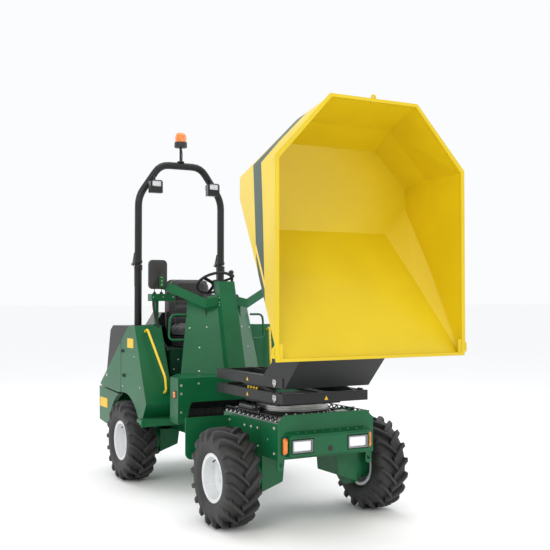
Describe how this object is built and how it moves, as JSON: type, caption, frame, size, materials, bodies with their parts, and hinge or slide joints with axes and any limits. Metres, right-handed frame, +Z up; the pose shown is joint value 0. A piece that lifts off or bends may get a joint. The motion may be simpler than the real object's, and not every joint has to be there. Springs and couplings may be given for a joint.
{
  "type": "site dumper",
  "caption": "Articulated electric site dumper with an open driver's place, a slewing scissor-lift turntable and a deep forward-tipping skip, shown tipped.",
  "frame": {"origin": "on the ground, at the middle of the machine's overall length and width with the skip tipped", "axes": "+Z up, -Y towards the front of the machine, +X towards its left side"},
  "size_m": [1.524, 3.6494, 3.2683],
  "materials": {
    "green": "gloss machine green paint",
    "grey": "dark grey paint",
    "plastic": "textured black plastic",
    "dark_green": "dark green paint in shade",
    "seat": "dark grey seat cover",
    "black": "satin black paint",
    "yellow": "gloss yellow paint",
    "deck_grey": "light grey plate",
    "steel": "machined steel",
    "chrome": "polished piston rod",
    "amber": "amber lens",
    "tyre": "ribbed field tyre",
    "rim_white": "white rim paint"
  },
  "bodies": {
    "rear_section": {"rear_frame": "green", "rear_wheel_carrier": "green", "battery_block": "grey", "floor_plate": "green", "bulkhead": "green", "console": "green", "dashboard": "plastic", "seat_box": "dark_green", "seat_base": "plastic", "seat_cushion": "seat", "seat_back": "seat", "lever_console": "green", "fender_right": "green", "fender_left": "green", "rear_body": "green", "rops_posts": "black", "mirror_right": "green", "mirror_left": "green", "handrail_right": "yellow", "handrail_left": "yellow"},
    "front_section": {"front_frame": "green", "front_plate": "green", "front_deck": "deck_grey", "front_wheel_carrier": "green", "lamp_box": "green", "mudguard_right": "green", "mudguard_left": "green", "slew_drive": "black"},
    "turntable": {"slew_ring": "steel", "lower_lift_frame": "grey"},
    "lower_arm": {"lower_scissor_arm": "grey"},
    "upper_arm": {"upper_scissor_arm": "grey"},
    "upper_lift": {"upper_lift_frame": "grey"},
    "tipping_skip": {"skip": "yellow", "skip_hinge_frame": "yellow"},
    "lift_cylinder": {"lift_barrel": "black"},
    "lift_piston": {"lift_rod": "chrome"},
    "tip_cylinder": {"tip_barrel": "black"},
    "tip_piston": {"tip_rod": "chrome"},
    "steering_cylinder": {"steering_barrel": "black"},
    "steering_piston": {"steering_rod": "chrome"},
    "battery_hood": {"hood": "black", "hood_side_right": "green", "hood_side_left": "green"},
    "folding_hoop": {"rops_hoop": "black", "work_light_right": "black", "work_light_left": "black", "beacon_stem": "black", "beacon": "amber"},
    "hand_wheel": {"steering_wheel": "plastic"},
    "wheel_front_right": {"front_right_tyre": "tyre", "front_right_rim": "rim_white"},
    "wheel_front_left": {"front_left_tyre": "tyre", "front_left_rim": "rim_white"},
    "wheel_rear_right": {"rear_right_tyre": "tyre", "rear_right_rim": "rim_white"},
    "wheel_rear_left": {"rear_left_tyre": "tyre", "rear_left_rim": "rim_white"}
  },
  "joints": [
    {"name": "front_right_wheel_spin", "type": "hinge", "parent": "front_section", "child": "wheel_front_right", "pos_m": [-0.627, -0.8465, 0.355], "axis": [1, 0, 0], "continuous": true},
    {"name": "rear_right_wheel_spin", "type": "hinge", "parent": "rear_section", "child": "wheel_rear_right", "pos_m": [-0.627, 1.1125, 0.355], "axis": [1, 0, 0], "continuous": true},
    {"name": "front_left_wheel_spin", "type": "hinge", "parent": "front_section", "child": "wheel_front_left", "pos_m": [0.627, -0.8465, 0.355], "axis": [1, 0, 0], "continuous": true},
    {"name": "rear_left_wheel_spin", "type": "hinge", "parent": "rear_section", "child": "wheel_rear_left", "pos_m": [0.627, 1.1125, 0.355], "axis": [1, 0, 0], "continuous": true},
    {"name": "articulation", "type": "hinge", "parent": "rear_section", "child": "front_section", "pos_m": [0, -0.1265, 0.595], "axis": [0, 0, 1], "range_deg": [-33, 33]},
    {"name": "steering_cylinder_swing", "type": "hinge", "parent": "rear_section", "child": "steering_cylinder", "pos_m": [0.2, 0.2835, 0.56], "axis": [0, 0, 1], "range_deg": [-10.7, 10.7]},
    {"name": "steering_cylinder_stroke", "type": "slide", "parent": "steering_cylinder", "child": "steering_piston", "axis": [0.07, -0.9975, 0], "range_m": [-0.132, 0.132]},
    {"name": "slew", "type": "hinge", "parent": "front_section", "child": "turntable", "pos_m": [0, -0.7165, 0.8], "axis": [0, 0, 1], "range_deg": [-90, 90]},
    {"name": "lift_lower_arm", "type": "hinge", "parent": "turntable", "child": "lower_arm", "pos_m": [0, -1.1465, 0.925], "axis": [1, 0, 0], "range_deg": [0, 37]},
    {"name": "lift_upper_arm", "type": "hinge", "parent": "lower_arm", "child": "upper_arm", "pos_m": [0, -0.72541, 0.9825], "axis": [1, 0, 0], "range_deg": [-75, 0.5]},
    {"name": "lift_top_frame", "type": "hinge", "parent": "upper_arm", "child": "upper_lift", "pos_m": [0, -1.1465, 1.04], "axis": [1, 0, 0], "range_deg": [-0.5, 38]},
    {"name": "lift_cylinder_swing", "type": "hinge", "parent": "turntable", "child": "lift_cylinder", "pos_m": [0, -0.3465, 0.925], "axis": [1, 0, 0], "range_deg": [-28.3, 0.5]},
    {"name": "lift_cylinder_stroke", "type": "slide", "parent": "lift_cylinder", "child": "lift_piston", "axis": [0, -0.9895, 0.1442], "range_m": [-0.003, 0.197]},
    {"name": "skip_tip", "type": "hinge", "parent": "upper_lift", "child": "tipping_skip", "pos_m": [0, -1.3965, 1.3], "axis": [1, 0, 0], "range_deg": [-90, 0]},
    {"name": "tip_cylinder_swing", "type": "hinge", "parent": "upper_lift", "child": "tip_cylinder", "pos_m": [0, -0.6465, 1.045], "axis": [1, 0, 0], "range_deg": [-1, 1.3]},
    {"name": "tip_cylinder_stroke", "type": "slide", "parent": "tip_cylinder", "child": "tip_piston", "axis": [0, -0.873, 0.4877], "range_m": [-0.287, 0.004]},
    {"name": "hood_lid", "type": "hinge", "parent": "rear_section", "child": "battery_hood", "pos_m": [0, 1.7585, 0.855], "axis": [-1, 0, 0], "range_deg": [0, 50]},
    {"name": "rops_fold", "type": "hinge", "parent": "rear_section", "child": "folding_hoop", "pos_m": [0, 1.5435, 1.965], "axis": [-1, 0, 0], "range_deg": [0, 90]},
    {"name": "steering_wheel_turn", "type": "hinge", "parent": "rear_section", "child": "hand_wheel", "pos_m": [0, 0.6835, 1.775], "axis": [0, 0.5446, 0.8387], "continuous": true}
  ],
  "couplings": [
    {"joint": "steering_cylinder_swing", "follows": "articulation", "ratio": 0.29275},
    {"joint": "steering_cylinder_stroke", "follows": "articulation", "m_per_rad": -0.22356},
    {"joint": "lift_upper_arm", "follows": "lift_lower_arm", "ratio": -2},
    {"joint": "lift_top_frame", "follows": "lift_lower_arm", "ratio": 1},
    {"joint": "lift_cylinder_swing", "follows": "lift_lower_arm", "ratio": -0.72528},
    {"joint": "lift_cylinder_stroke", "follows": "lift_lower_arm", "m_per_rad": 0.29891},
    {"joint": "tip_cylinder_swing", "follows": "skip_tip", "ratio": -0.00362},
    {"joint": "tip_cylinder_stroke", "follows": "skip_tip", "m_per_rad": 0.17994}
  ]
}
